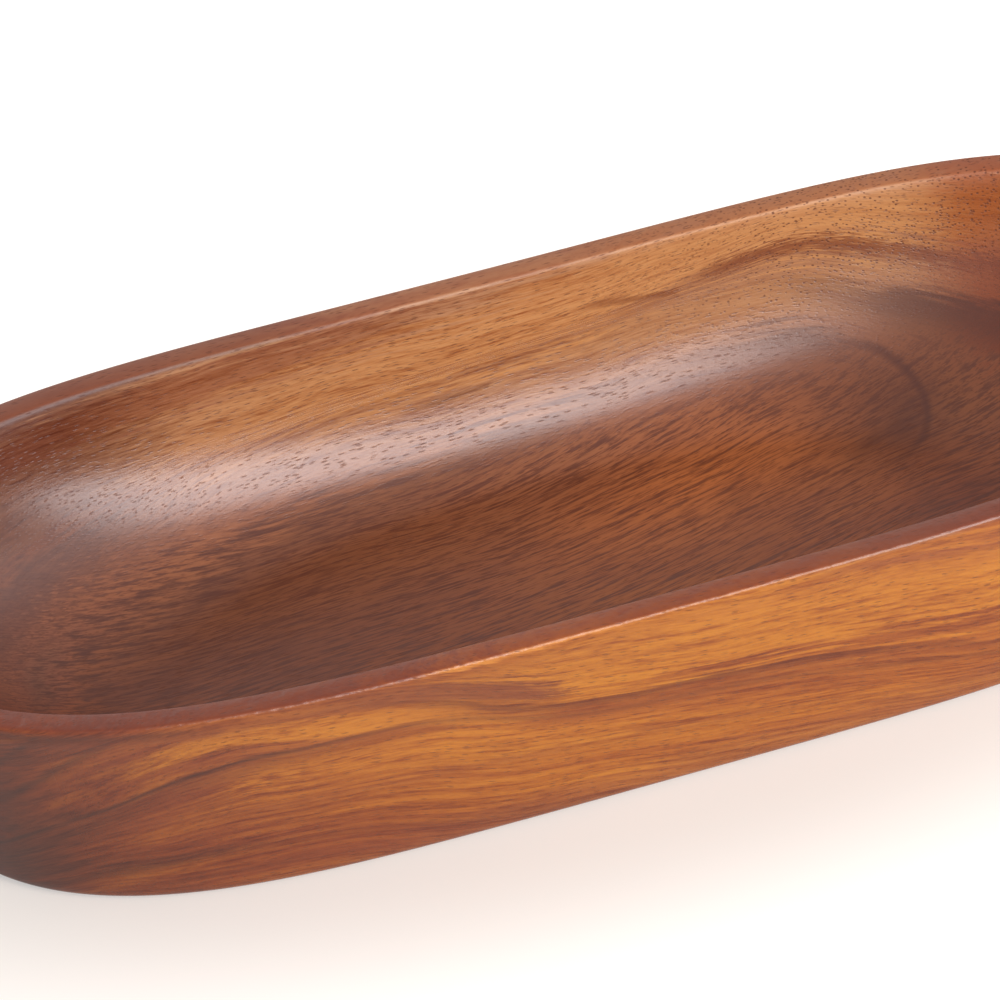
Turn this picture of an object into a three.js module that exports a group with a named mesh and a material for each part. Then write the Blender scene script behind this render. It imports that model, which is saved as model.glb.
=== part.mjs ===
// A long oval bread tray, carved from one block of wood.
// Millimetres, +Z up: X runs along the tray, Y across it, and the origin is the centre of the flat base.
// The tray stands on z = 0.

import * as THREE from 'three';
import { ParametricGeometry } from 'three/addons/geometries/ParametricGeometry.js';
import { mergeVertices } from 'three/addons/utils/BufferGeometryUtils.js';

// Outside sizes
const RIM_LENGTH = 400;
const RIM_WIDTH = 150;
const SIDE_HEIGHT = 62; // height of the rim at mid-length
const END_RISE = 3; // how far the rim sweeps up from mid-length to each end
const SIDE_DRAFT = 4; // each long side leans in by this much at the base
const END_DRAFT = 18; // each end leans in by this much at the base
const BASE_EDGE_RADIUS = 3; // rounding between base and walls

// Rim
const RIM_THICKNESS = 7.3;
const RIM_EDGE_RADIUS = 1; // softening of both edges of the rim
const RIM_CROWN = 0.4; // how much higher the rim's middle line is than its two edges

// Hollow
const FLOOR_THICKNESS = 12;
const SIDE_WALL_DRAFT = 3; // lean of the inner long walls
const END_WALL_DRAFT = 16; // lean of the inner end walls
const SIDE_COVE_REACH = 24; // how far the side cove runs in over the floor
const SIDE_COVE_HEIGHT = 34;
const END_COVE_REACH = 66; // the ends scoop in much farther than the sides
const END_COVE_HEIGHT = 42;

// Plan shape: |x / half length|^lengthwise + |y / half width|^crosswise = 1.
// A high lengthwise power keeps the long sides straight; a crosswise power near 2 makes round ends.
// Down in the hollow the plan turns into an ellipse.
const RIM_PLAN = { lengthwise: 4.5, crosswise: 2.2 };
const BASE_PLAN = { lengthwise: 4.4, crosswise: 2.4 };
const FLOOR_PLAN = { lengthwise: 2.2, crosswise: 2 };

// Fineness of the faceted surface
const AROUND_STEPS = 112; // a multiple of 4, so that both axes are planes of symmetry
const EDGE_STEPS = 3;
const CROWN_STEPS = 4;
const WALL_STEPS = 4;
const COVE_STEPS = 10;

const QUARTER_TURN = Math.PI / 2;
const RIM_DEPTH = RIM_CROWN + RIM_EDGE_RADIUS; // from the rim's middle line down to where the walls begin
const WALL_TOP = SIDE_HEIGHT - RIM_DEPTH;
const HOLLOW_DEPTH = SIDE_HEIGHT - FLOOR_THICKNESS;
const DEEPEST_COVE = HOLLOW_DEPTH - RIM_DEPTH;
const SIDE_COVE = { reach: SIDE_COVE_REACH, height: Math.min(SIDE_COVE_HEIGHT, DEEPEST_COVE) };
const END_COVE = { reach: END_COVE_REACH, height: Math.min(END_COVE_HEIGHT, DEEPEST_COVE) };

// One closed oval outline in plan, drawn once round anticlockwise from +X.
class OvalCurve extends THREE.Curve {
  constructor(halfLength, halfWidth, plan) {
    super();
    this.halfLength = halfLength;
    this.halfWidth = halfWidth;
    this.plan = plan;
    this.arcLengthDivisions = 4000;
  }

  getPoint(t, target = new THREE.Vector3()) {
    const cos = Math.cos(t * 4 * QUARTER_TURN);
    const sin = Math.sin(t * 4 * QUARTER_TURN);
    const x = this.halfLength * Math.sign(cos) * Math.abs(cos) ** (2 / this.plan.lengthwise);
    const y = this.halfWidth * Math.sign(sin) * Math.abs(sin) ** (2 / this.plan.crosswise);
    return target.set(x, y, 0);
  }
}

const rimOutline = new OvalCurve(RIM_LENGTH / 2, RIM_WIDTH / 2, RIM_PLAN);

function blendPlans(from, to, share) {
  return {
    lengthwise: THREE.MathUtils.lerp(from.lengthwise, to.lengthwise, share),
    crosswise: THREE.MathUtils.lerp(from.crosswise, to.crosswise, share),
  };
}

// A ring is one oval of the surface: its outline, its height at mid-length and its share of the end rise.
function makeRing(endInset, sideInset, height, plan, riseShare) {
  const outline = new OvalCurve(RIM_LENGTH / 2 - endInset, RIM_WIDTH / 2 - sideInset, plan);
  return { outline, height, riseShare };
}

function centreRing(height) {
  return makeRing(RIM_LENGTH / 2, RIM_WIDTH / 2, height, RIM_PLAN, 0);
}

// Outer skin: the lean grows evenly from nothing under the rim's edge to the full draft at the base.
function outerRing(height, extraInset) {
  const share = Math.max(0, 1 - height / WALL_TOP);
  const plan = blendPlans(RIM_PLAN, BASE_PLAN, share);
  return makeRing(END_DRAFT * share + extraInset, SIDE_DRAFT * share + extraInset, height, plan, 1 - share);
}

// How far a cove stands in from its wall at a depth below the rim. It is a quarter ellipse.
function coveInset(cove, depth) {
  const share = Math.max(0, 1 - (HOLLOW_DEPTH - depth) / cove.height);
  return cove.reach * (1 - Math.sqrt(1 - share ** 2));
}

function innerRing(depth) {
  const share = depth / HOLLOW_DEPTH;
  const plan = blendPlans(RIM_PLAN, FLOOR_PLAN, share);
  const endInset = RIM_THICKNESS + END_WALL_DRAFT * share + coveInset(END_COVE, depth);
  const sideInset = RIM_THICKNESS + SIDE_WALL_DRAFT * share + coveInset(SIDE_COVE, depth);
  return makeRing(endInset, sideInset, SIDE_HEIGHT - depth, plan, 1 - share);
}

function baseEdgeRings() {
  const rings = [];
  for (let step = 0; step <= EDGE_STEPS; step += 1) {
    const turn = (step / EDGE_STEPS) * QUARTER_TURN;
    rings.push(outerRing(BASE_EDGE_RADIUS * (1 - Math.cos(turn)), BASE_EDGE_RADIUS * (1 - Math.sin(turn))));
  }
  return rings;
}

function outerWallRings() {
  const rings = [];
  for (let step = 1; step <= WALL_STEPS; step += 1) {
    rings.push(outerRing(THREE.MathUtils.lerp(BASE_EDGE_RADIUS, WALL_TOP, step / WALL_STEPS), 0));
  }
  return rings;
}

// One ring of the rim's top, which is crowned, at an inset from the outside and a drop below the crown.
function rimRing(inset, drop) {
  const crownDrop = RIM_CROWN * (inset / (RIM_THICKNESS / 2) - 1) ** 2;
  return makeRing(inset, inset, SIDE_HEIGHT - crownDrop - drop, RIM_PLAN, 1);
}

// The crowned top lies between two small roundings.
function rimRings() {
  const rings = [];
  for (let step = 1; step <= EDGE_STEPS; step += 1) {
    const turn = (step / EDGE_STEPS) * QUARTER_TURN;
    rings.push(rimRing(RIM_EDGE_RADIUS * (1 - Math.cos(turn)), RIM_EDGE_RADIUS * (1 - Math.sin(turn))));
  }
  for (let step = 1; step < CROWN_STEPS; step += 1) {
    const inner = RIM_THICKNESS - RIM_EDGE_RADIUS;
    rings.push(rimRing(THREE.MathUtils.lerp(RIM_EDGE_RADIUS, inner, step / CROWN_STEPS), 0));
  }
  for (let step = 0; step < EDGE_STEPS; step += 1) {
    const turn = (step / EDGE_STEPS) * QUARTER_TURN;
    const inset = RIM_THICKNESS - RIM_EDGE_RADIUS * (1 - Math.sin(turn));
    rings.push(rimRing(inset, RIM_EDGE_RADIUS * (1 - Math.cos(turn))));
  }
  return rings;
}

// Inner wall and cove, from under the rim down to the flat floor.
function hollowRings() {
  const rings = [];
  const coveTop = HOLLOW_DEPTH - END_COVE.height;
  for (let step = 0; step < EDGE_STEPS; step += 1) {
    rings.push(innerRing(THREE.MathUtils.lerp(RIM_DEPTH, coveTop, step / EDGE_STEPS)));
  }
  for (let step = 0; step <= COVE_STEPS; step += 1) {
    rings.push(innerRing(coveTop + END_COVE.height * Math.sin((step / COVE_STEPS) * QUARTER_TURN)));
  }
  return rings;
}

// The surface runs from the centre of the base, out and up the outside, over the rim and in to the
// centre of the floor. Every ring uses the same turns, spaced evenly along the rim.
function makeTrayGeometry() {
  const rings = [
    centreRing(0),
    ...baseEdgeRings(),
    ...outerWallRings(),
    ...rimRings(),
    ...hollowRings(),
    centreRing(FLOOR_THICKNESS),
  ];
  const lastRing = rings.length - 1;

  const surfacePoint = (around, along, target) => {
    const ring = rings[THREE.MathUtils.clamp(Math.round(along * lastRing), 0, lastRing)];
    ring.outline.getPoint(rimOutline.getUtoTmapping(THREE.MathUtils.euclideanModulo(around, 1)), target);
    const endShare = target.x / (RIM_LENGTH / 2);
    target.z = ring.height + END_RISE * ring.riseShare * endShare ** 2;
  };

  return closeGeometry(new ParametricGeometry(surfacePoint, AROUND_STEPS, lastRing));
}

// Joins the seam and both centres, and leaves out the triangles that have shrunk to a line there.
function closeGeometry(openGeometry) {
  openGeometry.deleteAttribute('normal');
  openGeometry.deleteAttribute('uv');
  const geometry = mergeVertices(openGeometry, 1e-4);
  const corners = geometry.getIndex().array;
  const kept = [];
  for (let first = 0; first < corners.length; first += 3) {
    const [a, b, c] = corners.slice(first, first + 3);
    if (a !== b && b !== c && c !== a) {
      kept.push(a, b, c);
    }
  }
  geometry.setIndex(kept);
  geometry.computeVertexNormals();
  return geometry;
}

const lacqueredWood = new THREE.MeshStandardMaterial({ color: 0xb06a3c, roughness: 0.35, metalness: 0 });

const carvedBody = new THREE.Mesh(makeTrayGeometry(), lacqueredWood);
carvedBody.name = 'carved_body';

const group = new THREE.Group();
group.add(carvedBody);

export default group;
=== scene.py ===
"""Looks of a long oval bowl carved from one block of figured hardwood and lacquered.

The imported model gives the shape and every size. This script refines its surface, gives it the wood and
the lacquer, and sets up the view, the floor and the light.
"""

import logging
import math
from dataclasses import dataclass
from enum import Enum

import bpy
from bpy.types import Material, Node, NodeSocket, NodeTree, Object
from mathutils import Matrix, Vector


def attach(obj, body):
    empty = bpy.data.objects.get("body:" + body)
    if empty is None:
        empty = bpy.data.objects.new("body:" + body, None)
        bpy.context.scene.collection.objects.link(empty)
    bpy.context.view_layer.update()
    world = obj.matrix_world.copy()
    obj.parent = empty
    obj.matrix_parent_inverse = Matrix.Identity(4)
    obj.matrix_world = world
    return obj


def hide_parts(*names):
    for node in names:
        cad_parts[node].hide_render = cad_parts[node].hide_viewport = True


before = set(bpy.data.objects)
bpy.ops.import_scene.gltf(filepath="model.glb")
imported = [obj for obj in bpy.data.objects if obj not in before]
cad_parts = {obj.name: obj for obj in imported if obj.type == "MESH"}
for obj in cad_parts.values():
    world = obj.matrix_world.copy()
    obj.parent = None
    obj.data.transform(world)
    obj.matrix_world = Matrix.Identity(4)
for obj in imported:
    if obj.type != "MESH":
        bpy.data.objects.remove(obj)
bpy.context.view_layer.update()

LOG = logging.getLogger("oval_bowl")

MM = 0.001
PHOTO_SIDE_PX = 1000
SENSOR_WIDTH_MM = 36.0
BODY_NODE = "carved_body"
LEAN = "surface_lean"

Point = tuple[float, float]
Triple = tuple[float, float, float]
Course = tuple[Point, ...]


def linear_colour(hex_code: str) -> tuple[float, float, float, float]:
    """Turn an sRGB hex colour into the linear colour that a shader socket takes.

    Args:
        hex_code: Six hex digits, such as "c07840".

    Returns:
        Linear red, green, blue and an alpha of 1.
    """
    channels = []
    for start in (0, 2, 4):
        value = int(hex_code[start:start + 2], 16) / 255.0
        channels.append(value / 12.92 if value <= 0.04045 else ((value + 0.055) / 1.055) ** 2.4)
    return (channels[0], channels[1], channels[2], 1.0)


@dataclass
class ShaderTree:
    """A node tree that nodes are added to."""

    tree: NodeTree

    def add(self, kind: str, inputs: dict | None = None, **settings) -> Node:
        """Add one shader node, set it up and link what feeds it.

        Args:
            kind: The node's type name without the "ShaderNode" in front.
            inputs: Socket name or index to a plain value, to an output socket, or to a node whose first
                output feeds it.
            **settings: The node's own properties, such as operation or data_type.

        Returns:
            The new node.
        """
        node = self.tree.nodes.new("ShaderNode" + kind)
        for name, value in settings.items():
            setattr(node, name, value)
        for key, value in (inputs or {}).items():
            if isinstance(value, Node):
                value = value.outputs[0]
            if isinstance(value, NodeSocket):
                self.tree.links.new(value, node.inputs[key])
            else:
                node.inputs[key].default_value = value
        return node


def draw_ramp(node: Node, stops: list[tuple[float, str]], interpolation: str = "LINEAR") -> None:
    """Put the stops of a colour ramp into its node.

    Args:
        node: The Color Ramp node.
        stops: Place from 0 to 1 and hex colour of each stop, from left to right.
        interpolation: How the colours run from stop to stop.
    """
    ramp = node.color_ramp
    ramp.interpolation = interpolation
    while len(ramp.elements) < len(stops):
        ramp.elements.new(0.5)
    for element, (place, colour) in zip(ramp.elements, stops):
        element.position = place
        element.color = linear_colour(colour)


@dataclass(frozen=True)
class PhotoView:
    """Where the photograph was taken from, as the edges of rim and base give it.

    The long axis runs to the right and away from the camera. The two clip distances are in metres.
    """

    yaw_deg: float = 18.34
    elevation_deg: float = 39.47
    roll_deg: float = -3.0
    distance_mm: float = 2000.0
    focal_px: float = 7610.0
    base_centre_px: Point = (577.5, 617.6)
    clip: Point = (0.05, 50.0)

    def axes(self) -> tuple[Vector, Vector, Vector]:
        """Work out the camera's own directions.

        Returns:
            The unit vectors to the right of the picture, to its top and into it.
        """
        yaw, elevation, roll = (math.radians(a) for a in (self.yaw_deg, self.elevation_deg, self.roll_deg))
        level_right = Vector((math.cos(yaw), -math.sin(yaw), 0.0))
        heading = Vector((math.sin(yaw), math.cos(yaw), 0.0))
        into = heading * math.cos(elevation) - Vector((0.0, 0.0, math.sin(elevation)))
        level_up = level_right.cross(into)
        right = level_right * math.cos(roll) + level_up * math.sin(roll)
        top = level_up * math.cos(roll) - level_right * math.sin(roll)
        return right, top, into

    def place(self) -> None:
        """Make the camera and set it as the scene's camera."""
        right, top, into = self.axes()
        half = PHOTO_SIDE_PX / 2
        across = (self.base_centre_px[0] - half) / self.focal_px
        down = (self.base_centre_px[1] - half) / self.focal_px
        bpy.ops.object.camera_add()
        camera = bpy.context.object
        camera.name = "photo_camera"
        camera.data.sensor_width = SENSOR_WIDTH_MM
        camera.data.lens = self.focal_px / PHOTO_SIDE_PX * SENSOR_WIDTH_MM
        camera.data.clip_start, camera.data.clip_end = self.clip
        spot = -(into + right * across - top * down) * self.distance_mm * MM
        turn = Matrix((right, top, -into)).transposed().to_4x4()
        camera.matrix_world = Matrix.Translation(spot) @ turn
        bpy.context.scene.camera = camera


@dataclass(frozen=True)
class SoftLamp:
    """One rectangular soft box, aimed at a point of the bowl. Lengths are in metres."""

    name: str
    azimuth_deg: float
    elevation_deg: float
    distance: float
    width: float
    height: float
    power: float
    colour: str = "ffffff"
    aim: Triple = (0.0, 0.0, 0.03)

    def place(self) -> None:
        """Make the lamp. Azimuth 0 is straight in front (-Y), and positive angles are to the right (+X)."""
        azimuth, elevation = math.radians(self.azimuth_deg), math.radians(self.elevation_deg)
        out = Vector((
            math.sin(azimuth) * math.cos(elevation),
            -math.cos(azimuth) * math.cos(elevation),
            math.sin(elevation),
        ))
        bpy.ops.object.light_add(type="AREA")
        lamp = bpy.context.object
        lamp.name = self.name
        lamp.data.shape = "RECTANGLE"
        lamp.data.size = self.width
        lamp.data.size_y = self.height
        lamp.data.energy = self.power
        lamp.data.color = linear_colour(self.colour)[:3]
        lamp.matrix_world = Matrix.Translation(Vector(self.aim) + out * self.distance) @ (
            out.to_track_quat("Z", "Y").to_matrix().to_4x4()
        )


@dataclass
class Studio:
    """White sweep, soft lamps and a bright room around them.

    The floor's shade reaches so many metres out along each axis, and fades between two parts of that.
    """

    floor_reach: float = 6.0
    floor_colour: str = "b8a898"
    floor_roughness: float = 0.8
    floor_glow_near: float = 0.47
    floor_glow_far: float = 0.92
    shade_reach: Triple = (0.25, 0.115, 1.0)
    shade_fade: Point = (0.7, 1.4)
    room_colour: str = "ffffff"
    room_strength: float = 0.12

    def build(self) -> None:
        """Make the floor, the room and the lamps."""
        self.make_floor()
        self.make_room()
        for lamp in self.lamps():
            lamp.place()

    def lamps(self) -> list[SoftLamp]:
        """List the soft boxes.

        Returns:
            The key box in front of the bowl on the right, a weak one at its right-hand end, and a large soft
            one behind it on the left.
        """
        return [
            SoftLamp("key_box", 26.0, 27.8, 1.6, 0.78, 1.35, 31.0, "f8faff"),
            SoftLamp("side_box", 78.0, 35.0, 1.8, 1.0, 1.0, 5.0),
            SoftLamp("back_box", 210.0, 25.0, 2.0, 2.2, 1.4, 14.0),
        ]

    def make_floor(self) -> None:
        """Make a plain pale floor that is a little shaded around the bowl and white farther off."""
        bpy.ops.mesh.primitive_plane_add(size=self.floor_reach * 2)
        floor = bpy.context.object
        floor.name = "studio_floor"
        # Matt photographic paper: no shine, only the bowl's soft shadow.
        material = bpy.data.materials.new("matt_pale_paper")
        material.use_nodes = True
        nodes = ShaderTree(material.node_tree)
        shader = nodes.tree.nodes["Principled BSDF"]
        shader.inputs["Base Color"].default_value = linear_colour(self.floor_colour)
        shader.inputs["Roughness"].default_value = self.floor_roughness
        shader.inputs["Emission Color"].default_value = linear_colour("ffffff")
        spot = nodes.add("TexCoord")
        reach = nodes.add("VectorMath", {0: spot.outputs["Object"], 1: self.shade_reach}, operation="DIVIDE")
        away = nodes.add("VectorMath", {0: reach}, operation="LENGTH")
        inner, outer = self.shade_fade
        level = nodes.add("MapRange", {
            "Value": away.outputs["Value"], "From Min": inner, "From Max": outer,
            "To Min": self.floor_glow_near, "To Max": self.floor_glow_far}, interpolation_type="SMOOTHSTEP")
        glow = nodes.add("Math", {0: self.seen_directly(nodes), 1: level}, operation="MULTIPLY")
        nodes.tree.links.new(glow.outputs[0], shader.inputs["Emission Strength"])
        floor.data.materials.append(material)

    def make_room(self) -> None:
        """Light the scene from all round, and show white to the camera and in reflections."""
        world = bpy.data.worlds.new("white_room")
        world.use_nodes = True
        nodes = ShaderTree(world.node_tree)
        background = nodes.tree.nodes["Background"]
        background.inputs["Color"].default_value = linear_colour(self.room_colour)
        level = nodes.add("MapRange", {"Value": self.seen_directly(nodes), "To Min": self.room_strength,
                                       "To Max": 1.0})
        nodes.tree.links.new(level.outputs[0], background.inputs["Strength"])
        bpy.context.scene.world = world

    def seen_directly(self, nodes: ShaderTree) -> Node:
        """Tell the rays that show a surface, straight or mirrored, from those that light the scene.

        Args:
            nodes: The tree that takes the nodes.

        Returns:
            A node that gives 1 for such a ray and 0 for any other.
        """
        path = nodes.add("LightPath")
        mirrored = nodes.add("Math", {0: path.outputs["Is Glossy Ray"],
                                      1: path.outputs["Is Transmission Ray"]}, operation="ADD")
        return nodes.add("Math", {0: path.outputs["Is Camera Ray"], 1: mirrored}, operation="ADD",
                         use_clamp=True)


class Side(Enum):
    """The long wall that a mark of the figure is seen on."""

    NEAR = "near"
    FAR = "far"


@dataclass(frozen=True)
class Mark:
    """One mark that runs along the block, such as a dark growth line, a bright zone, or a band of painted
    shade.

    Its course gives its height above the base at places along the length, and its strength tells from 0 to
    1 how plain it is there. Both hold on beyond their first and last places. It fades out over its reach
    above and below, but for its core. Bundles of fibres fray its edges, or single fibres where it is torn.
    Lengths are in mm, from the middle of the bowl.
    """

    name: str
    side: Side
    colour: str
    course: Course
    strength: Course
    above: float
    below: float
    core: float = 0.0
    fray: float = 0.3
    torn: bool = False


@dataclass(frozen=True)
class Smudge:
    """A cloud in the floor's figure: the middle and the half axes of an ellipse in plan, in mm."""

    x: float
    y: float
    length: float
    width: float
    turn_deg: float
    strength: float
    colour: str = "532312"


@dataclass(frozen=True)
class GrowthArc:
    """A thin dark growth line that closes in an arc on the floor, as part of an ellipse in plan, in mm."""

    x: float
    y: float
    length: float
    width: float
    thickness: float
    strength: float


# The marks of the figure, some of them painted shade, near side first, and on each side about from the widest
# to the sharpest. They are drawn in this order.
MARKS = (
    Mark("bright_zone_front", Side.NEAR, "d08226",
         ((-200, 40), (-30, 50), (30, 48), (60, 44), (80, 41), (200, 34)),
         ((-75, 0), (-58, 0.5), (-25, 0.65), (50, 0.65), (100, 0.7), (140, 0.5), (200, 0.4)),
         17, 14, 0.4, 0.5),
    Mark("bright_zone_front_left", Side.NEAR, "cd7e26",
         ((-200, 40), (-150, 47), (-124, 54), (-112, 54.5), (-98, 53), (-86, 51.5), (-60, 48), (-30, 42),
          (200, 30)),
         ((-155, 0), (-140, 0.25), (-124, 0.8), (-98, 0.95), (-75, 0.8), (-50, 0.2), (0, 0)),
         4.5, 4.5, 0.4, 0.25),
    Mark("bright_zone_front_middle", Side.NEAR, "c97924",
         ((-200, 20), (-130, 37), (-110, 41), (-90, 41.5), (-60, 38), (-30, 31), (0, 27), (200, 0)),
         ((-126, 0), (-106, 0.7), (-60, 0.75), (-20, 0.35), (30, 0)),
         4.5, 7, 0.15, 0.9, True),
    Mark("brown_patch", Side.NEAR, "823d23",
         ((-200, 60), (-110, 62), (-80, 59), (-60, 54), (-45, 49), (-28, 44.5), (200, 44)),
         ((-200, 0.2), (-140, 0.25), (-110, 0.35), (-80, 0.55), (-60, 0.75), (-36, 0.85), (-25, 0)),
         6.5, 6, 0.25, 0.6),
    Mark("low_band", Side.NEAR, "572416",
         ((-200, -12), (-171, -2), (-157, 7), (-144, 12.5), (-132, 14.3), (-122, 15.8), (-103, 15.5),
          (-86, 13.9), (-70, 10.5), (-50, 6), (200, -10)),
         ((-200, 0.75), (-130, 0.65), (-110, 0.3), (-86, 0.15), (-50, 0.2), (0, 0.1)),
         3.2, 3.6, 0.0, 0.4),
    Mark("under_rim_shade", Side.NEAR, "50261a",
         ((-200, 63), (-170, 61.5), (-140, 60.5), (-120, 60)),
         ((-200, 0.6), (-140, 0.5), (-112, 0)),
         1.5, 3, 0.0, 0.2),
    Mark("low_front_shade", Side.NEAR, "8f4f33",
         ((-200, 3), (200, 3)),
         ((-200, 0.2), (-140, 0.1), (-100, 0.1), (-60, 0.3), (200, 0.35)),
         10, 12, 0.3),
    Mark("left_band", Side.NEAR, "552617",
         ((-200, 18), (-180, 28), (-171, 36), (-165, 43.5), (-160, 49), (-153, 55), (-147, 59),
          (-140, 62)),
         ((-200, 0.7), (-165, 0.65), (-147, 0.4), (-138, 0)),
         3, 3.6),
    Mark("left_top_band", Side.NEAR, "552617",
         ((-200, 34), (-180, 44), (-171, 52), (-165, 59), (-160, 63)),
         ((-200, 0.65), (-165, 0.5), (-158, 0)),
         3, 3.6),
    Mark("red_band", Side.NEAR, "893d1b",
         ((-200, 30), (-60, 46), (-30, 36), (0, 33), (20, 31), (60, 23), (95, 14), (200, -5)),
         ((-70, 0), (-40, 0.45), (95, 0.35)),
         3, 6, 0.2, 0.5),
    Mark("line_shade", Side.NEAR, "7c3b1c",
         ((-200, -5), (-185, 4), (-171, 16), (-160, 26), (-145, 34.5), (-133, 40.5), (-120, 43.5),
          (-112, 45), (-98, 45), (-87, 45), (-69, 44), (-58, 42), (200, 0)),
         ((-200, 0.6), (-120, 0.55), (-85, 0.3), (-58, 0)),
         4, 7, 0.0, 0.6),
    Mark("upper_line", Side.NEAR, "6d2e14",
         ((-200, 40), (-100, 59), (-80, 56), (-60, 50), (-45, 43), (-31, 39), (-11, 36), (7, 35),
          (23, 33), (41, 30.5), (61, 26.5), (76, 22.5), (89, 18), (200, -12)),
         ((-100, 0), (-70, 0.4), (-28, 0.6), (20, 0.65), (50, 0.6), (76, 0.35), (200, 0.3)),
         1.3, 2.4, 0.1, 0.35),
    Mark("lower_line", Side.NEAR, "4e2317",
         ((-200, -5), (-185, 5), (-171, 17.6), (-160, 28), (-145, 36.5), (-133, 42.3), (-122, 45),
          (-112, 47), (-98, 47), (-87, 47), (-69, 46), (-58, 44), (-40, 38), (-20, 33), (20, 29),
          (60, 21), (95, 13), (200, -8)),
         ((-200, 0.8), (-135, 0.7), (-120, 0.62), (-95, 0.55), (-80, 0.35), (0, 0.25), (95, 0.25),
          (200, 0.2)),
         1.5, 1.3, 0.0, 0.4),
    Mark("front_top_streak", Side.NEAR, "954a26",
         ((-200, 60), (30, 61), (60, 57), (100, 52), (200, 44)),
         ((20, 0), (50, 0.55), (80, 0.65), (100, 0.55), (200, 0.3)),
         2.2, 4, 0.0, 0.8),
    Mark("front_low_streak", Side.NEAR, "914824",
         ((-200, 30), (-130, 29), (-50, 26), (50, 13), (100, 6), (200, -6)),
         ((-200, 0.3), (-100, 0.4), (-20, 0.4), (60, 0.35), (200, 0.2)),
         1.6, 2.6, 0.0, 0.9),
    Mark("front_rim_patch", Side.NEAR, "d88a3a",
         ((-200, 62), (200, 62)),
         ((-72, 0), (-52, 0.9), (-18, 0.7), (0, 0)),
         3, 2, 0.5),
    Mark("front_rim_shade", Side.NEAR, "5c4a58",
         ((60, 63), (200, 65)),
         ((20, 0), (70, 0.5)),
         3, 3.2, 0.2, 0.2),
    Mark("bright_zone_back", Side.FAR, "d8965a",
         ((-200, 40), (-45, 43), (5, 45), (70, 57), (130, 54), (200, 50)),
         ((-200, 0.1), (-100, 0.3), (-45, 0.65), (5, 0.75), (60, 0.7), (130, 0.65), (200, 0.3)),
         15, 14, 0.4, 0.5),
    Mark("red_patch_back", Side.FAR, "954f30",
         ((-200, 50), (-100, 54), (-20, 58), (200, 62)),
         ((-60, 0.6), (-30, 0.45), (0, 0)),
         8, 7, 0.3, 0.6),
    Mark("back_left_shade", Side.FAR, "5c2313",
         ((-200, 44), (200, 44)),
         ((-200, 0.75), (-130, 0.72), (-107, 0.5), (-92, 0.2), (-78, 0)),
         26, 26, 0.7),
    Mark("back_right_shade", Side.FAR, "a04c1c",
         ((-200, 44), (200, 44)),
         ((114, 0), (124, 0.25), (132, 0.6), (142, 0.8), (200, 0.85)),
         26, 26, 0.7, 0.2),
    Mark("back_rim_shade", Side.FAR, "5c2a18",
         ((-200, 63), (200, 63)),
         ((-200, 0.8), (-70, 0.7), (-20, 0)),
         3, 2.4, 0.4, 0.2),
    Mark("back_cove_band", Side.FAR, "482319",
         ((-200, 12), (-40, 15), (0, 18), (17, 19.7), (29, 21.6), (43, 23), (57, 24), (70, 26), (88, 26)),
         ((-200, 0.4), (10, 0.35), (40, 0.15), (70, 0.25), (84, 0.45), (94, 0.3), (104, 0)),
         5, 7, 0.0, 0.6),
    Mark("back_middle_streak", Side.FAR, "9c5b33",
         ((-200, 30), (0, 37), (60, 44), (80, 46), (200, 30)),
         ((-200, 0.3), (-60, 0.4), (0, 0.05), (30, 0.05), (44, 0.35), (54, 0.2), (64, 0)),
         2, 3, 0.0, 0.9),
    Mark("back_dash", Side.FAR, "804024",
         ((-200, 50), (30, 46.6), (39, 46), (48, 45), (55, 44.3), (200, 40)),
         ((22, 0), (34, 0.5), (50, 0.6), (57, 0)),
         1.6, 1.6, 0.2, 0.7),
    Mark("back_streak", Side.FAR, "7e3c26",
         ((-200, 40), (55, 46.8), (66, 48.2), (72, 49.1), (80, 50), (91, 50.2), (102, 48), (114, 44.6),
          (126, 41.1), (141, 38.5), (200, 30)),
         ((50, 0), (64, 0.5), (75, 0.7), (110, 0.68), (141, 0.5), (200, 0.4)),
         3.4, 4.0, 0.2, 0.6, True),
    Mark("back_low_band", Side.FAR, "5a2a1a",
         ((-200, 10), (60, 40), (90, 37.5), (102, 34.5), (109, 32.5), (118, 31), (127, 29.5), (136, 28),
          (200, 20)),
         ((70, 0), (92, 0.3), (105, 0.5), (118, 0.7), (140, 0.75), (200, 0.5)),
         4, 10, 0.1),
    Mark("back_grey_streak", Side.FAR, "682f19",
         ((-200, 29), (-22, 30.5), (0, 31.5), (200, 36)),
         ((-26, 0), (-18, 0.6), (0, 0.5), (10, 0)),
         1.2, 1.0),
)

# The clouds on the floor of the hollow, in the order in which they are drawn.
SMUDGES = (
    Smudge(45, 26, 62, 27, 15, 0.9, "ca7236"),
    Smudge(78, 50, 36, 15, -15, 0.4),
    Smudge(108, 32, 34, 32, 0, 0.75),
    Smudge(92, 23, 11, 4, 25, 0.55),
    Smudge(103, 25, 9, 6, 60, 0.6),
    Smudge(51, 15, 8, 3, 20, 0.4),
)


@dataclass
class WoodField(ShaderTree):
    """The tree of the wood, with the nodes that its figure is drawn with.

    Places and grain are in mm, and the rest run from 0 to 1. In the grain the fibres are straightened.
    Facing tells how squarely the surface looks up. Level is the flat floor of the hollow alone.
    """

    x: NodeSocket
    y: NodeSocket
    z: NodeSocket
    along: Node
    far: Node
    near: Node
    hollow: Node
    level: Node
    facing: NodeSocket
    endward: Node
    slanted: Node
    grain: Node | None = None
    floor_grain: Node | None = None
    fibre: Node | None = None
    hairs: Node | None = None
    frayed_along: Node | None = None


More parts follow.
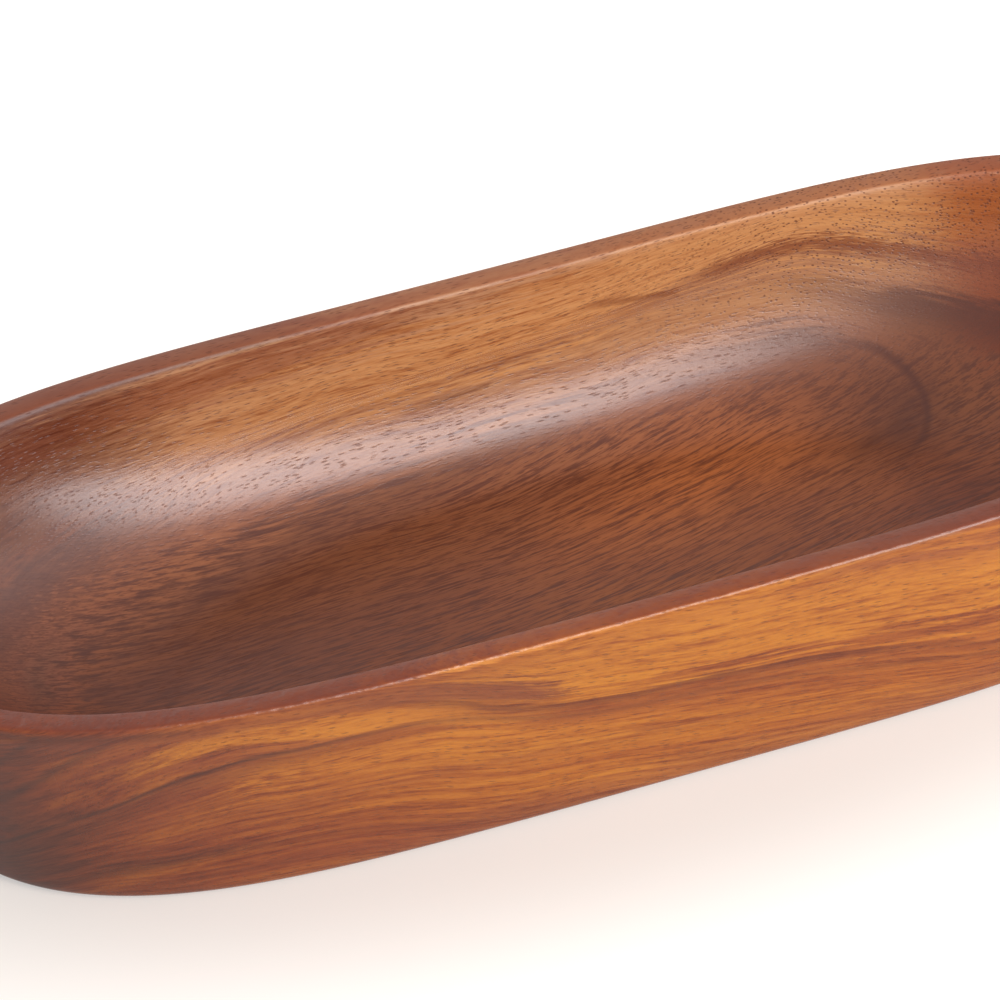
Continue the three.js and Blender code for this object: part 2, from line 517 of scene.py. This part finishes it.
@dataclass(frozen=True)
class LacqueredAcacia:
    """Acacia, carved, sanded and lacquered.

    Its heartwood runs from honey to red brown in bands that follow the growth lines, with thin dark lines
    between them. Open pores show as short dark dashes on the long walls and as dots on the ends. The
    lacquer lies smooth over it, so highlights are soft-edged but unbroken, dimmed only at the pores.

    Lengths are in mm. A pair of heights, places or leans tells where a part of the bowl begins and where it
    is full, and a lean of 1 faces straight up or endward. Patterns are counted per mm along the grain,
    across it and up through the growth rings.
    """

    half_length: float = 200.0
    lowest: float = -20.0
    highest: float = 80.0
    side_blend: float = 58.0
    hollow_heights: Point = (46.0, 40.0)
    hollow_lean: Point = (0.3, 0.8)
    level_lean: Point = (0.6, 0.9)
    end_lean: Point = (0.3, 0.95)
    rim_lean: Point = (0.6, 0.95)
    rim_heights: Point = (56.0, 60.0)
    edge_heights: Point = (57.0, 60.0)
    slant_places: Point = (15.0, 85.0)
    honey: str = "cd8026"
    amber: str = "b3641f"
    russet: str = "91441d"
    umber: str = "682f19"
    line_brown: str = "532314"
    pore_brown: str = "5c2912"
    growth_rings: Triple = (0.006, 0.03, 0.085)
    wall_fibres: Triple = (0.03, 0.13, 0.85)
    floor_fibres: Triple = (0.05, 0.8, 0.5)
    wall_hairs: Triple = (0.16, 0.5, 2.4)
    floor_hairs: Triple = (0.13, 1.9, 0.9)
    pore_dashes: Triple = (0.26, 1.5, 1.9)
    pore_dots: Triple = (0.7, 1.0, 1.05)
    pore_crowds: Triple = (0.02, 0.06, 0.12)
    sway_per_mm: float = 0.016
    sway: float = 4.0
    arc: GrowthArc = GrowthArc(90.0, 33.0, 22.0, 20.0, 2.2, 0.75)
    tone_and_end_shade: Course = ((-200, 0.12), (-155, 0.26), (-120, 0.42), (-80, 0.52), (-30, 0.64), (0, 0.68),
                    (110, 0.6), (135, 0.46), (160, 0.34), (200, 0.2))
    floor_drift: Course = ((-200, -13), (-50, -5.3), (0, 0), (40, 9.3), (80, 19.0), (120, 27.0), (200, 40.0))
    near_flow: Course = ((-200, 34), (-171, 44), (-147, 56), (-130, 61), (-110, 62.5), (-80, 60),
                         (-45, 50), (-28, 44), (0, 41), (41, 38), (89, 31), (200, 15))
    far_flow: Course = ((-200, 38), (30, 43), (60, 47), (86, 50), (102, 48), (126, 41.5), (200, 28))
    near_levels: tuple[float, ...] = (32.0, 60.0, 70.0, 100.0)
    far_levels: tuple[float, ...] = (50.0, 65.0, 100.0)
    far_pallor_and_sheen: float = 0.5
    floor_lines: float = 0.62
    wall_pores: float = 0.6
    slanted_pores: float = 0.85
    pore_edge: Point = (0.36, 0.16)
    roughness: float = 0.25
    pore_roughness: float = 0.5
    floor_dullness: float = 0.12
    end_dullness: float = 0.2
    rim_dullness: Point = (0.1, 0.22)
    refraction: float = 1.5
    relief: float = 0.06

    def make(self) -> Material:
        """Make the material.

        Returns:
            The finished material.
        """
        # Lacquer over sanded wood: the figure shows deep and warm, under soft-edged highlights.
        material = bpy.data.materials.new("acacia_carved_sanded_lacquered")
        material.use_nodes = True
        tree = material.node_tree
        shader = tree.nodes["Principled BSDF"]
        field = self.lay_out(tree)
        colour = self.figure(field)
        for mark in MARKS:
            colour = self.draw_mark(field, mark, colour)
        colour = self.darken_hollow(field, colour)
        colour = self.draw_fibres(field, colour)
        # The ends are painted darker and redder: their open end grain soaks up more finish, and the darkening
        # is also painted shade where they turn from the lamps.
        colour = self.cover(field, field.endward, colour, "b4846c", "MULTIPLY")
        colour = self.darken_rim(field, colour)
        pores = self.pores(field)
        colour = self.cover(field, pores, colour, self.pore_brown)
        tree.links.new(colour, shader.inputs["Base Color"])
        self.lacquer(field, pores, shader)
        return material

    def lay_out(self, tree: NodeTree) -> WoodField:
        """Turn object coordinates into places in the block, in mm.

        Args:
            tree: The material's node tree.

        Returns:
            The field that the figure is drawn with.
        """
        nodes = ShaderTree(tree)
        spot = nodes.add("TexCoord")
        in_mm = nodes.add("VectorMath", {0: spot.outputs["Object"], "Scale": 1.0 / MM}, operation="SCALE")
        axes = nodes.add("SeparateXYZ", {0: in_mm})
        x, y, z = axes.outputs
        along = nodes.add("MapRange", {"Value": x, "From Min": -self.half_length,
                                       "From Max": self.half_length})
        far = nodes.add("MapRange", {"Value": y, "From Min": -self.side_blend,
                                     "From Max": self.side_blend}, interpolation_type="SMOOTHSTEP")
        near = nodes.add("Math", {0: 1.0, 1: far}, operation="SUBTRACT")
        lean = nodes.add("Attribute", attribute_name=LEAN)
        facing = nodes.add("SeparateXYZ", {0: lean.outputs["Vector"]})
        below_rim = nodes.add("MapRange", {"Value": z, "From Min": self.hollow_heights[0],
                                           "From Max": self.hollow_heights[1]})
        parts = []
        for start, full in (self.hollow_lean, self.level_lean):
            upward = nodes.add("MapRange", {"Value": facing.outputs[2], "From Min": start,
                                            "From Max": full}, interpolation_type="SMOOTHSTEP")
            parts.append(nodes.add("Math", {0: upward, 1: below_rim}, operation="MULTIPLY"))
        hollow, level = parts
        endward = nodes.add("Math", {0: facing.outputs[0]}, operation="ABSOLUTE")
        endward = nodes.add("MapRange", {"Value": endward, "From Min": self.end_lean[0],
                                         "From Max": self.end_lean[1]}, interpolation_type="SMOOTHSTEP")
        # Towards the right the far wall cuts the grain at a slant.
        slanted = nodes.add("MapRange", {"Value": x, "From Min": self.slant_places[0],
                                         "From Max": self.slant_places[1]})
        slanted = nodes.add("Math", {0: slanted, 1: far}, operation="MULTIPLY")
        field = WoodField(tree, x, y, z, along, far, near, hollow, level, facing.outputs[2], endward, slanted)
        self.straighten(field)
        return field

    def straighten(self, field: WoodField) -> None:
        """Add places along the straightened grain, and the noise of the fibres.

        Args:
            field: The field, which gets its grain, its fibres and the frayed place along the block.
        """
        courses = {mark.name: mark.course for mark in MARKS}
        near = self.growth(field, [courses["low_band"], courses["lower_line"], self.near_flow],
                           self.near_levels)
        far = self.growth(field, [courses["back_low_band"], self.far_flow], self.far_levels)
        growth = field.add("Mix", {0: field.far, 2: near, 3: far}, data_type="FLOAT")
        # No fibre runs quite straight: over some 60 mm it wavers by a millimetre or two.
        place = field.add("CombineXYZ", {0: field.x, 1: field.y, 2: field.z})
        sway = field.add("TexNoise", {"Vector": place, "Scale": self.sway_per_mm, "Detail": 1.0})
        sway = field.add("MapRange", {"Value": sway, "To Min": -self.sway, "To Max": self.sway})
        growth = field.add("Math", {0: growth, 1: sway}, operation="ADD")
        field.grain = field.add("CombineXYZ", {0: field.x, 1: field.y, 2: growth})
        # On the floor the fibres lie at a slant of 3 degrees on the left, and of 13 right of the middle.
        drift = self.course_height(field, self.floor_drift)
        drift = field.add("Math", {0: drift, 1: sway}, operation="ADD")
        across = field.add("Math", {0: field.y, 1: drift}, operation="SUBTRACT")
        field.floor_grain = field.add("CombineXYZ", {0: field.x, 1: across, 2: field.z})
        field.fibre = self.streaks(field, self.wall_fibres, self.floor_fibres, 4.0)
        # Single fibres are finer than the picture shows, so they are drawn 0.4 mm across.
        field.hairs = self.streaks(field, self.wall_hairs, self.floor_hairs, 2.0)
        # Fibre by fibre, the ends of the marks lie up to 5 mm out of line.
        fray = field.add("MapRange", {"Value": field.hairs, "From Min": 0.3, "From Max": 0.7,
                                      "To Min": -0.013, "To Max": 0.013})
        field.frayed_along = field.add("Math", {0: field.along, 1: fray}, operation="ADD")

    def streaks(self, field: WoodField, on_walls: Triple, on_floor: Triple, detail: float) -> Node:
        """Give noise that is drawn out along the grain of the walls and of the floor.

        Args:
            field: The field.
            on_walls: Streaks per millimetre along, across and up the walls.
            on_floor: Streaks per millimetre along, across and up over the floor.
            detail: How many finer layers the noise has.

        Returns:
            A node that gives the noise.
        """
        layers = []
        for grain, fineness in ((field.grain, on_walls), (field.floor_grain, on_floor)):
            stretched = field.add("VectorMath", {0: grain, 1: fineness}, operation="MULTIPLY")
            layers.append(field.add("TexNoise", {"Vector": stretched, "Scale": 1.0, "Detail": detail,
                                                 "Roughness": 0.62}))
        return field.add("Mix", {0: field.level, 2: layers[0], 3: layers[1]}, data_type="FLOAT")

    def growth(self, field: WoodField, courses: list[Course], heights: tuple[float, ...]) -> Node:
        """Stretch the height so that each course lies at one height of its own.

        Args:
            field: The field.
            courses: The courses from the lowest to the highest.
            heights: The straightened height of each course and of the top.

        Returns:
            A node that gives the straightened height in mm.
        """
        floor, total, start = self.lowest, None, 0.0
        for course, height in zip([*courses, None], heights):
            top = self.highest if course is None else self.course_height(field, course)
            share = field.add("MapRange", {"Value": field.z, "From Min": floor, "From Max": top,
                                           "To Min": 0.0, "To Max": height - start})
            total = share if total is None else field.add("Math", {0: total, 1: share}, operation="ADD")
            floor, start = top, height
        return total

    def follow(self, field: WoodField, along: Node, points: Course) -> Node:
        """Give a value that changes along the block, and holds on beyond its first and last places.

        Args:
            field: The field.
            along: The node that gives the place along the block, from 0 to 1.
            points: Places along the block in mm, and values from 0 to 1 there.

        Returns:
            A node that gives the value.
        """
        places = [((x / self.half_length + 1) / 2, value) for x, value in points]
        if places[0][0] > 0.0:
            places.insert(0, (0.0, places[0][1]))
        if places[-1][0] < 1.0:
            places.append((1.0, places[-1][1]))
        node = field.add("FloatCurve", {"Value": along})
        curve = node.mapping.curves[0]
        for place in places[1:-1]:
            curve.points.new(*place)
        curve.points[0].location = places[0]
        curve.points[-1].location = places[-1]
        node.mapping.update()
        return node

    def course_height(self, field: WoodField, course: Course) -> Node:
        """Give the height of a course at each place along the block.

        Args:
            field: The field.
            course: Places along the block and heights there, in mm.

        Returns:
            A node that gives the height in mm.
        """
        reach = self.highest - self.lowest
        curve = self.follow(field, field.along, tuple((x, (z - self.lowest) / reach) for x, z in course))
        return field.add("Math", {0: curve, 1: reach, 2: self.lowest}, operation="MULTIPLY_ADD")

    def figure(self, field: WoodField) -> NodeSocket:
        """Paint the wood's own bands and fibres.

        Args:
            field: The field.

        Returns:
            The colour output of the figure.
        """
        # Broad bands are 8 to 15 mm across and run for some 150 mm, as wide growth rings cut nearly flat.
        wide = field.add("VectorMath", {0: field.grain, 1: self.growth_rings}, operation="MULTIPLY")
        bands = field.add("TexNoise", {"Vector": wide, "Scale": 1.0, "Detail": 3.0, "Roughness": 0.55})
        # The tone changes along the wood, and falls towards both ends as painted shade where they turn from
        # the lamps.
        tone_and_end_shade = self.follow(field, field.along, self.tone_and_end_shade)
        mixed = field.add("Math", {0: bands, 1: 1.3, 2: tone_and_end_shade}, operation="MULTIPLY_ADD")
        streaks = field.add("Math", {0: field.fibre, 1: 0.5, 2: mixed}, operation="MULTIPLY_ADD")
        level = field.add("MapRange", {"Value": streaks, "From Min": 0.9, "From Max": 1.9})
        ramp = field.add("ValToRGB", {0: level})
        draw_ramp(ramp, [(0.0, self.umber), (0.3, self.russet), (0.6, self.amber), (1.0, self.honey)])
        # The far side is painted a little paler and greyer, for its paler wood and as a painted milky sheen.
        pale_and_sheen = field.add("Math", {0: field.far, 1: self.far_pallor_and_sheen}, operation="MULTIPLY")
        return self.cover(field, pale_and_sheen, ramp.outputs[0], "c9a282")

    def draw_fibres(self, field: WoodField, under: NodeSocket) -> NodeSocket:
        """Draw the fine dark fibres that run through the whole figure.

        Args:
            field: The field.
            under: The colour so far.

        Returns:
            The colour output with the fibres.
        """
        both = field.add("Math", {0: field.hairs, 1: 0.8, 2: field.fibre}, operation="MULTIPLY_ADD")
        level = field.add("MapRange", {"Value": both, "From Min": 0.65, "From Max": 1.05})
        ramp = field.add("ValToRGB", {0: level})
        draw_ramp(ramp, [(0.0, "c4a492"), (0.5, "ebe0d8"), (1.0, "ffffff")])
        # Where the fibres are cut across or at a slant, they show as faint grain.
        share = field.add("MapRange", {"Value": field.endward, "To Min": 1.0, "To Max": 0.5})
        slant = field.add("MapRange", {"Value": field.slanted, "To Min": 1.0, "To Max": 0.45})
        share = field.add("Math", {0: share, 1: slant}, operation="MULTIPLY")
        mix = field.add("Mix", {0: share, 6: under, 7: ramp}, data_type="RGBA", blend_type="MULTIPLY")
        # The floor lies across the growth rings, so its lines stand out most.
        lines = field.add("MapRange", {"Value": both, "From Min": 0.94, "From Max": 0.76})
        share = field.add("Math", {0: lines, 1: field.level}, operation="MULTIPLY")
        share = field.add("Math", {0: share, 1: self.floor_lines}, operation="MULTIPLY")
        return self.cover(field, share, mix.outputs[2], self.line_brown)

    def cover(self, field: WoodField, share: Node, under: NodeSocket,
              colour: str, blend: str = "MIX") -> NodeSocket:
        """Lay a colour over the one so far.

        Args:
            field: The field.
            share: The node that gives how much of it shows.
            under: The colour so far.
            colour: The new colour.
            blend: How the two are mixed.

        Returns:
            The colour output of both.
        """
        mix = field.add("Mix", {0: share, 6: under, 7: linear_colour(colour)}, data_type="RGBA",
                        blend_type=blend)
        return mix.outputs[2]

    def draw_mark(self, field: WoodField, mark: Mark, under: NodeSocket) -> NodeSocket:
        """Draw one mark over the figure, frayed along the fibres.

        Args:
            field: The field.
            mark: The mark.
            under: The colour so far.

        Returns:
            The colour output with the mark.
        """
        height = self.course_height(field, mark.course)
        fray = field.add("MapRange", {"Value": field.hairs if mark.torn else field.fibre,
                                      "From Min": 0.3, "From Max": 0.7,
                                      "To Min": -mark.fray * mark.below, "To Max": mark.fray * mark.above})
        frayed = field.add("Math", {0: field.z, 1: fray}, operation="ADD")
        offset = field.add("Math", {0: frayed, 1: height}, operation="SUBTRACT")
        across = field.add("MapRange", {"Value": offset, "From Min": -mark.below, "From Max": mark.above})
        profile = field.add("ValToRGB", {0: across})
        middle = mark.below / (mark.above + mark.below)
        draw_ramp(profile, [(0.0, "000000"), (middle * (1 - mark.core), "ffffff"),
                            (middle + (1 - middle) * mark.core, "ffffff"), (1.0, "000000")], "EASE")
        presence = self.follow(field, field.frayed_along, mark.strength)
        share = field.add("Math", {0: profile, 1: presence}, operation="MULTIPLY")
        side = field.near if mark.side is Side.NEAR else field.far
        share = field.add("Math", {0: share, 1: side}, operation="MULTIPLY")
        return self.cover(field, share, under, mark.colour)

    def darken_hollow(self, field: WoodField, under: NodeSocket) -> NodeSocket:
        """Make the floor of the hollow darker and redder, partly as its wood and partly as painted shade,
        with its clouds.

        Args:
            field: The field.
            under: The colour so far.

        Returns:
            The colour output with the floor.
        """
        # Painted shade over the hollow, together with the darker, redder wood there.
        share = field.add("Math", {0: field.hollow, 1: 0.9}, operation="MULTIPLY")
        colour = self.cover(field, share, under, "d2ac98", "MULTIPLY")
        plan = field.add("CombineXYZ", {0: field.x, 1: field.y})
        for smudge in SMUDGES:
            centred = field.add("Mapping", {
                "Vector": plan, "Location": (smudge.x, smudge.y, 0.0),
                "Rotation": (0.0, 0.0, math.radians(smudge.turn_deg)),
                "Scale": (smudge.length, smudge.width, 1.0)}, vector_type="TEXTURE")
            cloud = field.add("TexGradient", {0: centred}, gradient_type="SPHERICAL")
            share = field.add("Math", {0: cloud.outputs[1], 1: field.hollow}, operation="MULTIPLY")
            share = field.add("Math", {0: share, 1: smudge.strength}, operation="MULTIPLY")
            colour = self.cover(field, share, colour, smudge.colour)
        return self.draw_arc(field, plan, colour)

    def draw_arc(self, field: WoodField, plan: Node, under: NodeSocket) -> NodeSocket:
        """Draw the growth line that closes in an arc near the right-hand end of the floor.

        Args:
            field: The field.
            plan: The node that gives the place in plan, in mm.
            under: The colour so far.

        Returns:
            The colour output with the arc.
        """
        arc = self.arc
        centred = field.add("Mapping", {"Vector": plan, "Location": (arc.x, arc.y, 0.0),
                                        "Scale": (arc.length, arc.width, 1.0)}, vector_type="TEXTURE")
        away = field.add("VectorMath", {0: centred}, operation="LENGTH")
        frayed = field.add("Math", {0: field.fibre, 1: 0.1, 2: away.outputs["Value"]},
                           operation="MULTIPLY_ADD")
        thin = arc.thickness / arc.length
        # The fray lies 0.05 outwards on average, which is taken off again.
        offset = field.add("Math", {0: frayed, 1: 1.05}, operation="SUBTRACT")
        offset = field.add("Math", {0: offset}, operation="ABSOLUTE")
        line = field.add("MapRange", {"Value": offset, "From Min": thin, "From Max": 0.0,
                                      "To Max": arc.strength}, interpolation_type="SMOOTHSTEP")
        # It fades out towards the middle of the bowl.
        rightward = field.add("MapRange", {"Value": field.x, "From Min": arc.x,
                                           "From Max": arc.x + 0.8 * arc.length})
        share = field.add("Math", {0: line, 1: rightward}, operation="MULTIPLY")
        share = field.add("Math", {0: share, 1: field.hollow}, operation="MULTIPLY")
        return self.cover(field, share, under, self.line_brown)

    def darken_rim(self, field: WoodField, under: NodeSocket) -> NodeSocket:
        """Make the top of the rim redder, as its wood is, and darker as painted shade, most of all on the
        near rim.

        Args:
            field: The field.
            under: The colour so far.

        Returns:
            The colour output with the rim.
        """
        top = field.add("MapRange", {"Value": field.facing, "From Min": self.rim_lean[0],
                                     "From Max": self.rim_lean[1]})
        high = field.add("MapRange", {"Value": field.z, "From Min": self.rim_heights[0],
                                      "From Max": self.rim_heights[1]})
        share = field.add("Math", {0: top, 1: high}, operation="MULTIPLY")
        # A red brown is laid over the top, as its wood is there.
        even = field.add("Math", {0: share, 1: 0.5}, operation="MULTIPLY")
        rim_change = self.cover(field, even, under, "aa5a36")
        # Painted shade darkens the top further, most on the near rim.
        front = field.add("MapRange", {"Value": field.near, "To Min": 0.2, "To Max": 0.85})
        share = field.add("Math", {0: share, 1: front}, operation="MULTIPLY")
        return self.cover(field, share, rim_change, "c69c84", "MULTIPLY")

    def pores(self, field: WoodField) -> Node:
        """Scatter the open pores, 0.3 mm across and 2 to 3 mm long, along the grain.

        Args:
            field: The field.

        Returns:
            A node that gives how much pore colour shows.
        """
        layers = [self.dashes(field, grain, self.pore_dashes)
                  for grain in (field.grain, field.floor_grain)]
        shown = field.add("Mix", {0: field.level, 2: layers[0], 3: layers[1]}, data_type="FLOAT")
        # On the long walls they are shallow dashes. Inside the ends they are cut across and open, and
        # outside, where hands hold the bowl, they are rubbed full of lacquer.
        open_ends = field.add("MapRange", {"Value": field.far, "To Min": 0.25, "To Max": 0.8})
        depth = field.add("Mix", {0: field.endward, 2: self.wall_pores, 3: open_ends}, data_type="FLOAT")
        shallow = field.add("Math", {0: shown, 1: depth}, operation="MULTIPLY")
        # Vessels cut at a slant show as open dots.
        upright = field.add("MapRange", {"Value": field.hollow, "To Min": self.slanted_pores,
                                         "To Max": 0.0})
        slanted = field.add("Math", {0: field.slanted, 1: upright}, operation="MULTIPLY")
        dots = self.dashes(field, field.grain, self.pore_dots)
        dots = field.add("Math", {0: dots, 1: slanted}, operation="MULTIPLY")
        return field.add("Math", {0: shallow, 1: dots}, operation="MAXIMUM")

    def dashes(self, field: WoodField, grain: Node, per_mm: Triple) -> Node:
        """Scatter dashes along one grain, closer together in some places than in others.

        Args:
            field: The field.
            grain: The node that gives the place in the grain, in mm.
            per_mm: Dashes per millimetre along, across and up the grain.

        Returns:
            A node that is 1 inside a dash.
        """
        cells = field.add("VectorMath", {0: grain, 1: per_mm}, operation="MULTIPLY")
        spots = field.add("TexVoronoi", {"Vector": cells, "Scale": 1.0, "Randomness": 1.0})
        dash = field.add("MapRange", {"Value": spots.outputs["Distance"],
                                      "From Min": self.pore_edge[0], "From Max": self.pore_edge[1]})
        region = field.add("VectorMath", {0: grain, 1: self.pore_crowds}, operation="MULTIPLY")
        crowd = field.add("TexNoise", {"Vector": region, "Scale": 1.0, "Detail": 2.0})
        chance = field.add("SeparateColor", {0: spots.outputs["Color"]})
        crowd = field.add("Math", {0: field.far, 1: 0.25, 2: crowd}, operation="MULTIPLY_ADD")
        odds = field.add("Math", {0: crowd, 1: chance}, operation="SUBTRACT")
        kept = field.add("MapRange", {"Value": odds, "From Min": -0.25, "From Max": 0.1})
        return field.add("Math", {0: dash, 1: kept}, operation="MULTIPLY")

    def lacquer(self, field: WoodField, pores: Node, shader: Node) -> None:
        """Set the gloss and the fine relief that the lacquer leaves.

        Args:
            field: The field.
            pores: The node that gives the pores.
            shader: The Principled shader.
        """
        gloss = field.add("MapRange", {"Value": pores, "To Min": self.roughness,
                                       "To Max": self.pore_roughness})
        # Use has dulled the floor a little, and the end grain has soaked up some of the lacquer.
        for part, dullness in ((field.level, self.floor_dullness), (field.endward, self.end_dullness)):
            gloss = field.add("Math", {0: part, 1: dullness, 2: gloss}, operation="MULTIPLY_ADD")
        rim = field.add("MapRange", {"Value": field.z, "From Min": self.edge_heights[0],
                                     "From Max": self.edge_heights[1]})
        # Hands have rubbed the rim duller, and its far edge shines least in the photo.
        rim_change = field.add("MapRange", {"Value": field.far, "To Min": self.rim_dullness[0],
                                        "To Max": self.rim_dullness[1]})
        gloss = field.add("Math", {0: rim, 1: rim_change, 2: gloss}, operation="MULTIPLY_ADD")
        field.tree.links.new(gloss.outputs[0], shader.inputs["Roughness"])
        shader.inputs["IOR"].default_value = self.refraction
        sunk = field.add("Math", {0: pores, 1: -1.0}, operation="MULTIPLY")
        relief = field.add("Math", {0: field.hairs, 1: 0.9, 2: sunk}, operation="MULTIPLY_ADD")
        # The edges of the rim were rounded by hand, so they waver by a tenth of a millimetre.
        place = field.add("CombineXYZ", {0: field.x, 1: field.y, 2: field.z})
        waver = field.add("TexNoise", {"Vector": place, "Scale": 0.3, "Detail": 2.0})
        wavy = field.add("MapRange", {"Value": field.near, "To Min": 2.5, "To Max": 8.0})
        wavy = field.add("Math", {0: wavy, 1: rim}, operation="MULTIPLY")
        relief = field.add("Math", {0: waver, 1: wavy, 2: relief}, operation="MULTIPLY_ADD")
        bump = field.add("Bump", {"Strength": 0.7, "Distance": self.relief * MM, "Height": relief})
        field.tree.links.new(bump.outputs[0], shader.inputs["Normal"])


@dataclass
class CarvedBody:
    """The bowl itself: one carved and sanded block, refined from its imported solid."""

    name: str = "carved_block"
    merge_mm: float = 0.02
    flat_tolerance_mm: float = 0.01
    centre_reach_mm: float = 1.0
    band_mm: float = 3.0
    quad_angle_deg: float = 60.0
    fineness: int = 2

    def build(self) -> Object:
        """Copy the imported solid, join it up and round its facets.

        Returns:
            The finished object, riding on the root body.
        """
        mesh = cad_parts[BODY_NODE].data.copy()
        mesh.name = self.name
        mesh.materials.clear()
        bowl = bpy.data.objects.new(self.name, mesh)
        bpy.context.scene.collection.objects.link(bowl)
        bpy.ops.object.select_all(action="DESELECT")
        bowl.select_set(True)
        bpy.context.view_layer.objects.active = bowl
        bpy.ops.object.mode_set(mode="EDIT")
        bpy.ops.mesh.select_all(action="SELECT")
        bpy.ops.mesh.remove_doubles(threshold=self.merge_mm * MM)
        quad_angle = math.radians(self.quad_angle_deg)
        bpy.ops.mesh.tris_convert_to_quads(face_threshold=quad_angle, shape_threshold=quad_angle)
        bpy.ops.object.mode_set(mode="OBJECT")
        for height in self.flat_heights(bowl):
            self.merge_flat(bowl, height)
        smoothing = bowl.modifiers.new("rounded_facets", "SUBSURF")
        smoothing.levels = self.fineness
        smoothing.render_levels = self.fineness
        bpy.ops.object.modifier_apply(modifier=smoothing.name)
        bpy.ops.object.shade_smooth()
        self.store_lean(bowl)
        bowl.data.materials.append(LacqueredAcacia().make())
        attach(bowl, "root")
        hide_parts(BODY_NODE)
        return bowl

    def store_lean(self, bowl: Object) -> None:
        """Store which way the surface faces at each of its points, for the finish to read.

        Args:
            bowl: The object in work.
        """
        lean = bowl.data.attributes.new(LEAN, "FLOAT_VECTOR", "POINT")
        for point, normal in zip(lean.data, bowl.data.vertex_normals):
            point.vector = normal.vector

    def flat_heights(self, bowl: Object) -> list[float]:
        """Find the heights of the base and of the floor inside the hollow.

        Args:
            bowl: The object in work.

        Returns:
            The two heights in metres.
        """
        middle = [v.co.z for v in bowl.data.vertices if v.co.xy.length < self.centre_reach_mm * MM]
        return [min(middle), max(middle)]

    def merge_flat(self, bowl: Object, height: float) -> None:
        """Make one flat face of the triangles at a height, with a narrow band around it.

        Args:
            bowl: The object in work.
            height: The height of the flat area in metres.
        """
        tolerance = self.flat_tolerance_mm * MM
        for face in bowl.data.polygons:
            face.select = all(abs(bowl.data.vertices[i].co.z - height) < tolerance for i in face.vertices)
        bpy.ops.object.mode_set(mode="EDIT")
        bpy.ops.mesh.select_mode(type="FACE")
        bpy.ops.mesh.dissolve_faces()
        bpy.ops.mesh.inset(thickness=self.band_mm * MM)
        bpy.ops.object.mode_set(mode="OBJECT")
        for part in (*bowl.data.polygons, *bowl.data.edges, *bowl.data.vertices):
            part.select = False


def main() -> None:
    """Build the view, the bowl and the studio."""
    logging.basicConfig(level=logging.INFO, format="%(message)s")
    bpy.context.scene.view_settings.view_transform = "Standard"
    PhotoView().place()
    LOG.info("camera placed")
    bowl = CarvedBody().build()
    LOG.info("%s: %d faces", bowl.name, len(bowl.data.polygons))
    Studio().build()
    LOG.info("studio ready")


if __name__ == "__main__":
    main()
